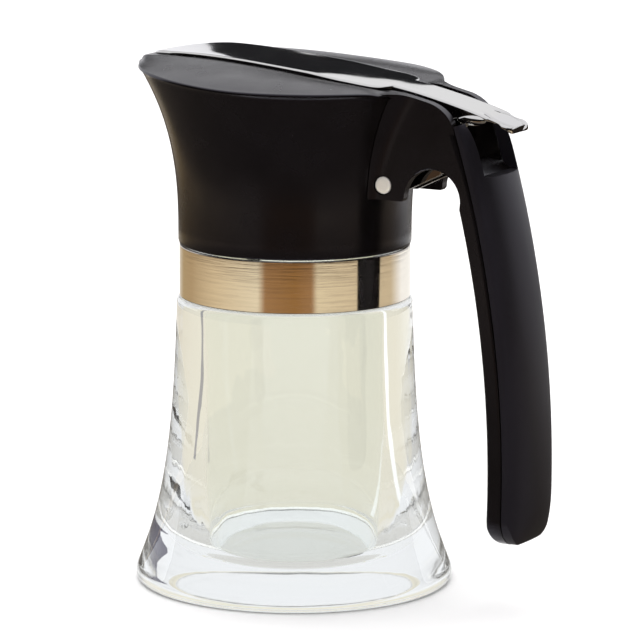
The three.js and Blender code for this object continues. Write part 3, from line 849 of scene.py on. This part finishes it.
def handle_back():
    """Softer shell over the handle's outer side: domed across, and lower at its ends."""
    top_angle = CHEEK_CORNER_ANGLE + 0.1

    def along(angle):
        return math.radians(angle) * FRAME_R

    def eased(u, depth):
        return math.sqrt(1 - depth * (1 - min(1, u)) ** 2)

    rings = []
    for angle in steps(END_ANGLE + 0.15, top_angle, 90):
        end_ease = eased(along(angle - END_ANGLE) / BACK_END_RISE, 0.82)
        top_ease = eased(along(top_angle - angle) / BACK_TOP_RISE, 0.75)
        dome = BACK_T * end_ease * top_ease
        ring = []
        for turn in steps(0, 180, 48):
            t = math.radians(turn)
            lift = BACK_EDGE_T + (dome - BACK_EDGE_T) * max(0.0, math.sin(t)) ** 0.85
            x, z = on_handle(FRAME_R + GAP + lift, angle)
            ring.append((x, HANDLE_HALF * math.cos(t), z))
        for y in (-HANDLE_HALF, HANDLE_HALF):
            x, z = on_handle(FRAME_R + GAP, angle)
            ring.append((x, y, z))
        rings.append(ring)
    body = skin("handle_grip", rings)
    shape_by(body, channel(), "DIFFERENCE")
    shape_by(body, end_rounding(), "INTERSECT")
    soft = moulded_plastic("soft_touch_black_tpe", "#0f0d0f", "#1a171b", 0.46, 0.35, 0.12, 0.62)
    dress(body, soft, "jug", "handle_back")


# Hinge pin


def hinge_pin():
    half = HANDLE_HALF
    profile = [(0, -half), (PIN_HEAD_R * 0.6, -half)]
    profile += arc(PIN_HEAD_R - 0.35, -half + 0.35, 0.35, -90, 0, 4)
    profile += [(PIN_HEAD_R, -half + PIN_HEAD_T), (PIN_R, -half + PIN_HEAD_T)]
    profile += [(r, -z) for r, z in reversed(profile)]
    pin = turned("hinge_pin_turned", profile, sides=48)
    upright = Matrix.Rotation(math.pi / 2, 4, "X")
    pin.data.transform(Matrix.Translation(Vector((PIN_X, 0, PIN_Z)) * MM) @ upright)
    dress(pin, pin_steel(), "jug", "hinge_pin")


# Lid and lever


def along_points(points, x):
    """Height at x on the straight lines between (x, height) points."""
    for (ax, ay), (bx, by) in zip(points, points[1:]):
        if ax <= x <= bx:
            return ay + (by - ay) * (x - ax) / max(1e-9, bx - ax)
    return points[-1][1]


def lid_half_width(x):
    """Half width of the lid and its lever in plan, by x."""
    front = [(LID_TIP_X, 0.0)]
    front += bezier(
        (LID_TIP_X, 0), (LID_TIP_X, 3.5), (LID_TIP_X + 8.5, LID_HALF), (LID_WIDE_X, LID_HALF), 60
    )
    shoulder = [(LID_SHOULDER_X, LID_HALF)]
    shoulder += bezier(
        (LID_SHOULDER_X, LID_HALF), (LID_SHOULDER_X + 7.5, LID_HALF),
        (LEVER_ROOT_X - 0.5, LID_HALF - 2.6), (LEVER_ROOT_X, LEVER_HALF), 60,
    )
    if x < LID_WIDE_X:
        return along_points(front, x)
    if x < LID_SHOULDER_X:
        return LID_HALF
    if x < LEVER_ROOT_X:
        return along_points(shoulder, x)
    half = LEVER_HALF
    corner = x - (LEVER_END_X - LEVER_CORNER)
    if corner > 0:
        half -= LEVER_CORNER - math.sqrt(max(0, LEVER_CORNER**2 - corner**2))
    off = x - LEVER_NOTCH_X
    if abs(off) < LEVER_NOTCH_R:
        bite_y = LEVER_HALF + LEVER_NOTCH_R - LEVER_NOTCH_DEPTH
        half = min(half, bite_y - math.sqrt(LEVER_NOTCH_R**2 - off**2))
    return half


def lid_stations():
    """Places along X where the lid's section is drawn, closer where its outline turns."""
    tip = [LID_TIP_X + (LID_WIDE_X - LID_TIP_X) * u**2 for u in steps(0.03, 1, 40)]
    plain = steps(LID_WIDE_X, LID_SHOULDER_X, 50)[1:]
    run = LEVER_ROOT_X - LID_SHOULDER_X
    shoulder = [LID_SHOULDER_X + run * (1 - (1 - u) ** 2) for u in steps(0, 1, 30)][1:]
    lever = steps(LEVER_ROOT_X + 0.2, LEVER_NOTCH_X - 3, 26)
    end = steps(LEVER_NOTCH_X - 2.8, LEVER_END_X, 48)
    return tip + plain + shoulder + lever + end


def lid_top(x, y):
    """Height of the sheet's upper face: pressed slightly hollow in front, where it
    guides the pour, crowned behind, with two thumb beads near the lever's end."""
    turn = 1 - 2 * eased_step((x - PRESS_START_X) / (PRESS_END_X - PRESS_START_X))
    hollow, crown = max(0.0, turn), max(0.0, -turn)
    crown *= 1 - eased_step((x - CROWN_FADE_X) / 10)
    across = (y / LID_HALF) ** 2
    from_pad = math.hypot(x - LEVER_NOTCH_X, y)
    bead = math.exp(-(((from_pad - BEAD_R) / BEAD_HALF) ** 2))
    bead *= eased_step((abs(y) / max(from_pad, 1e-6) - 0.45) / 0.3)
    dished = LID_DISH * hollow * (1 - across)
    crowned = LID_CROWN * crown * across
    return lid_z(x) - dished - crowned - BEAD_DEPTH * bead


def lid_section(x):
    """Ring of points round the sheet's section at x. Its edges roll down softly."""
    half = max(0.25, lid_half_width(x))
    thick = LID_T + LEVER_LIP * max(0, 1 - (LEVER_END_X - x) / 1.2)
    roll = min(ROLL_WIDTH, 0.6 * half)
    flat = half - roll
    low = lid_z(x) - thick
    side = [(flat * u, lid_top(x, flat * u)) for u in steps(0, 1, 28)]
    for t in (15, 30, 45, 60, 75, 90):
        t = math.radians(t)
        y = flat + roll * math.sin(t)
        side.append((y, lid_top(x, y) - ROLL_DROP * (1 - math.cos(t))))
    side += [(half, low + 0.12), (half - 0.12, low)]
    side += [(flat * u, low) for u in (1, 0.66, 0.33)]
    ring = [(x, y, z) for y, z in side]
    ring.append((x, 0, low))
    ring += [(x, -y, z) for y, z in side[:0:-1]]
    return ring


def lid_leg(near):
    """One of the two legs from the lever's edge down to the pin."""

    def on_boss(angle):
        t = math.radians(angle)
        return (PIN_X + LEG_BOSS_R * math.cos(t), PIN_Z + LEG_BOSS_R * math.sin(t))

    back, heel = LEG_BACK_X, LEG_HEEL_Z
    outline = [on_boss(-66), LEG_KNEE]
    outline += quadratic(LEG_KNEE, (back - 0.3, LEG_KNEE[1] + 1.4), (back, LEG_KNEE[1] + 7), 8)
    outline.append((back + 0.4, heel - 3.2))
    outline += quadratic(outline[-1], (back + 1, heel), (back + 4.2, heel), 8)
    outline += [(LEG_HEEL_END_X, heel)]
    outline += [(LEG_HEEL_END_X + 1.5, lid_z(LEG_HEEL_END_X + 1.5) - LEG_BITE)]
    outline += [(x, lid_z(x) - LEG_BITE) for x in steps(LEG_TOP_FRONT[1], LEG_TOP_FRONT[0], 10)]
    outline.append((PIN_X + 5, PIN_Z + 10.5))
    outline += arc(PIN_X, PIN_Z, LEG_BOSS_R, 110, 290, 20)
    leg = side_slab("leg", outline, near, near + LEG_T, lambda z: 0.2, 3)
    bore = cross_rod("leg_bore", PIN_X, PIN_Z, PIN_R + GAP, -HANDLE_HALF, HANDLE_HALF)
    return shape_by(leg, bore, "DIFFERENCE")


def flange_curl(side):
    """Rounded shoulder where a leg leaves the lever's edge."""
    curl = turned("curl", arc(0, 0, 1, -90, 90, 16), sides=48)
    centre = Vector((CURL_X, side * CURL_Y, CURL_Z)) * MM
    curl.data.transform(Matrix.Translation(centre) @ Matrix.Diagonal((*CURL_SIZE, 1)))
    return curl


def lid_and_lever():
    sheet = skin("lid_sheet", [lid_section(x) for x in lid_stations()], sharp=50)
    for side, near in ((-1, -LEVER_HALF), (1, LEVER_HALF - LEG_T)):
        shape_by(sheet, lid_leg(near), "UNION", sharp=50)
        shape_by(sheet, flange_curl(side), "UNION", sharp=50)
    buffed = polished_steel("buffed_stainless_sheet", "#d3d2d0", 0.05, 0)
    dress(sheet, buffed, "lid", "lid_lever")


# Camera: fitted to the photograph, 1.2 m out and 29 degrees round from the front
CAMERA_DISTANCE = 1.2
CAMERA_AZIMUTH = 29
CAMERA_HEIGHT = 0.29566
CAMERA_PITCH = 10.56
CAMERA_ROLL = 0.16
CAMERA_LENS = 251
CAMERA_SHIFT = 0.0395


def camera():
    a, p, r = (math.radians(v) for v in (CAMERA_AZIMUTH, CAMERA_PITCH, CAMERA_ROLL))
    forward = Vector((-math.sin(a) * math.cos(p), math.cos(a) * math.cos(p), -math.sin(p)))
    level = Vector((math.cos(a), math.sin(a), 0))
    up = level.cross(forward)
    right = math.cos(r) * level + math.sin(r) * up
    top = math.cos(r) * up - math.sin(r) * level
    turn = Matrix((right, top, -forward)).transposed().to_4x4()
    place = (CAMERA_DISTANCE * math.sin(a), -CAMERA_DISTANCE * math.cos(a), CAMERA_HEIGHT)
    data = bpy.data.cameras.new("camera")
    data.lens = CAMERA_LENS
    data.sensor_width = 36
    data.shift_x = CAMERA_SHIFT
    data.clip_end = 50
    obj = bpy.data.objects.new("camera", data)
    bpy.context.scene.collection.objects.link(obj)
    obj.matrix_world = Matrix.Translation(place) @ turn
    bpy.context.scene.camera = obj


# Studio

FLOOR_Z = -0.1


def floor():
    """White sweep, a hair below the foot so that the glass keeps its bottom face."""
    far = 8 / MM
    plan = ((-far, -far), (far, -far), (far, far), (-far, far))
    sheet = make("floor", [(x, y, FLOOR_Z) for x, y in plan], [(0, 1, 2, 3)])
    material, _, _, _ = surface("white_sweep", Base_Color=srgb("#f6f5f3"), Roughness=0.7)
    sheet.data.materials.append(material)


def sky():
    """Even soft daylight from all round."""
    world = bpy.data.worlds.new("studio")
    world.use_nodes = True
    back = world.node_tree.nodes["Background"]
    back.inputs["Color"].default_value = srgb("#fbfbff")
    back.inputs["Strength"].default_value = 1.0
    bpy.context.scene.world = world


def bearing(azimuth, distance, height):
    """Point at an azimuth in degrees from the camera's side, distance and height in mm."""
    t = math.radians(azimuth - 90 + CAMERA_AZIMUTH)
    return (distance * math.cos(t), distance * math.sin(t), height)


def strip(name, rows):
    """Sheet between two rows of points."""
    count = len(rows[0])
    faces = [(i, i + 1, count + i + 1, count + i) for i in range(count - 1)]
    return make(name, rows[0] + rows[1], faces)


def lying(start, end, near, far, height):
    """Rows of a board that lies on the ground between two azimuths."""
    return [[bearing(a, r, height) for a in steps(start, end, 48)] for r in (near, far)]


def standing(start, end, distance, low, high):
    """Rows of an upright board between two azimuths."""
    return [[bearing(a, distance, z) for a in steps(start, end, 24)] for z in (low, high)]


def leaf(start, end, distance, middle, half, narrowing):
    """Rows of an upright board that narrows by an amount for each degree it turns."""
    halves = [(a, half - narrowing * (a - start)) for a in steps(start, end, 24)]
    return [[bearing(a, distance, middle + side * h) for a, h in halves] for side in (-1, 1)]


def only_reflected(sheet, through_glass):
    """Keeps a board out of the camera's view and the light: it shows only in
    reflections, or only through the glass."""
    sheet.visible_camera = False
    sheet.visible_diffuse = False
    sheet.visible_shadow = False
    sheet.visible_glossy = not through_glass
    sheet.visible_transmission = through_glass


def board(name, rows, colour, glow, through_glass=False):
    sheet = strip(name, rows)
    material, _, shader, _ = surface(name, Base_Color=srgb("#000000"), Specular_IOR_Level=0.0)
    shader.inputs["Emission Color"].default_value = srgb(colour)
    shader.inputs["Emission Strength"].default_value = glow
    sheet.data.materials.append(material)
    only_reflected(sheet, through_glass)


# Radii of the rings of ground that the steel mirrors, from the jug outwards
TAN_END_R = 400
TONED_END_R = 575
BROWN_END_R = 820
GROUND_END_R = 1800
WALL_R = 2500

# What the collar reflects on its ground, by turns round the jug from behind the handle
GROUND_TONES = [
    (0.0, "#efece6"), (0.1, "#b09a76"), (0.16, "#b59d7a"), (0.27, "#dcc8a6"), (0.4, "#ecdfc4"),
    (0.42, "#a37c55"), (0.5, "#9a7143"), (0.545, "#a37c55"), (0.56, "#e8d8b8"),
    (0.7, "#d8c6a8"), (0.8, "#d0bfa2"), (0.86, "#ffffff"), (1.0, "#efece6"),
]


def toned_ground():
    """Ring of ground with warm tones that change with direction, as a room's would."""
    sheet = strip("toned_ground", lying(-180, 180, TAN_END_R, TONED_END_R, 0.4))
    material, tree, shader, place = surface("toned_ground", Specular_IOR_Level=0.0)
    rotation = (0, 0, math.radians(90 - CAMERA_AZIMUTH))
    spun = add(tree, "ShaderNodeMapping", {"Vector": place, "Rotation": rotation})
    turn = add(tree, "ShaderNodeTexGradient", {"Vector": spun.outputs[0]}, gradient_type="RADIAL")
    ramp = add(tree, "ShaderNodeValToRGB", {"Fac": turn.outputs["Fac"]})
    stops = ramp.color_ramp.elements
    while len(stops) < len(GROUND_TONES):
        stops.new(0.5)
    for stop, (turns, tone) in zip(stops, GROUND_TONES):
        stop.position = turns
        stop.color = srgb(tone)
    tree.links.new(ramp.outputs["Color"], shader.inputs["Emission Color"])
    shader.inputs["Base Color"].default_value = srgb("#000000")
    shader.inputs["Emission Strength"].default_value = 1.18
    sheet.data.materials.append(material)
    only_reflected(sheet, through_glass=False)


def boards():
    """Boards that stand for the room: first those the steel and the plastic mirror, then
    those that show through the glass. The disc under the foot is painted light, not room,
    and near the foot the cream board lays painted light over the floor's shade."""
    toned_ground()
    whole = (-180, 180)
    board("tan_ground_near", lying(*whole, 60, TAN_END_R, 0.2), "#6a6259", 1.0)
    board("brown_ground", lying(*whole, TONED_END_R, BROWN_END_R, 0.4), "#4a382a", 1.0)
    board("dark_ground_far", lying(-150, 150, BROWN_END_R, GROUND_END_R, 0.2), "#2a2521", 1.0)
    board("dark_front", standing(-110, 110, 1900, -50, 2600), "#1c1a18", 1.0)
    board("dark_behind", standing(166, 196, WALL_R, 450, 876), "#242426", 1.0)
    board("grey_behind", standing(166, 196, WALL_R, 876, 2200), "#f4f4f6", 1.08)
    for name, rows, colour, glow in (
        # The cream board stands for the pale room behind; from its inner edge at 46 mm it also
        # lays painted light over the floor's shade close to the foot, as seen through the glass.
        ("cream_behind", lying(50, 310, 46, 3000, 0.3), "#f1ebdc", 1.0),
        # The glowing disc under the foot, seen only through the glass, is painted light in place
        # of the light that the glass would carry to the floor beneath it.
        ("painted_light_under_foot", lying(*whole, 0.02, 43, -0.05), "#f4f2f0", 0.85),
        ("slate_strip", lying(-123, -118, 95, 700, 0.5), "#a5a3a6", 1.0),
        ("slate_card", leaf(106, 137, 700, 160, 103, 3.1), "#5c5a6c", 1.0),
        ("white_strip", lying(114, 122, 48, 700, 0.5), "#ffffff", 1.2),
    ):
        board(name, rows, colour, glow, through_glass=True)


def softbox(name, centre, aim, size, power):
    """Area light that gives light alone: nothing mirrors it or shows it."""
    light = bpy.data.lights.new(name, "AREA")
    light.shape = "RECTANGLE"
    light.size, light.size_y = size
    light.energy = power
    lamp = bpy.data.objects.new(name, light)
    bpy.context.scene.collection.objects.link(lamp)
    turn = (Vector(aim) - Vector(centre)).to_track_quat("-Z", "Y").to_matrix().to_4x4()
    lamp.matrix_world = Matrix.Translation(centre) @ turn
    lamp.visible_glossy = False
    lamp.visible_transmission = False


camera()
glass_jar()
steel_collar()
black_abs = moulded_plastic("satin_black_abs", "#080605", "#0c0908", 0.24, 0.3, 1.0, 0.5)
head(black_abs)
handle_frame(black_abs)
handle_back()
hinge_pin()
lid_and_lever()
floor()
sky()
boards()
softbox("overhead", (-0.4, 0.6, 1.9), (0, 0, 0.1), (2.4, 1.8), 30)
softbox("front_fill", (0.9, -1.6, 1.4), (0, -0.1, 0.0), (1.6, 1.2), 16)

bpy.context.scene.view_settings.view_transform = "Standard"
# Light crosses thick glass through many inner reflections
paths = bpy.context.scene.cycles
paths.max_bounces = paths.transmission_bounces = paths.glossy_bounces = 32
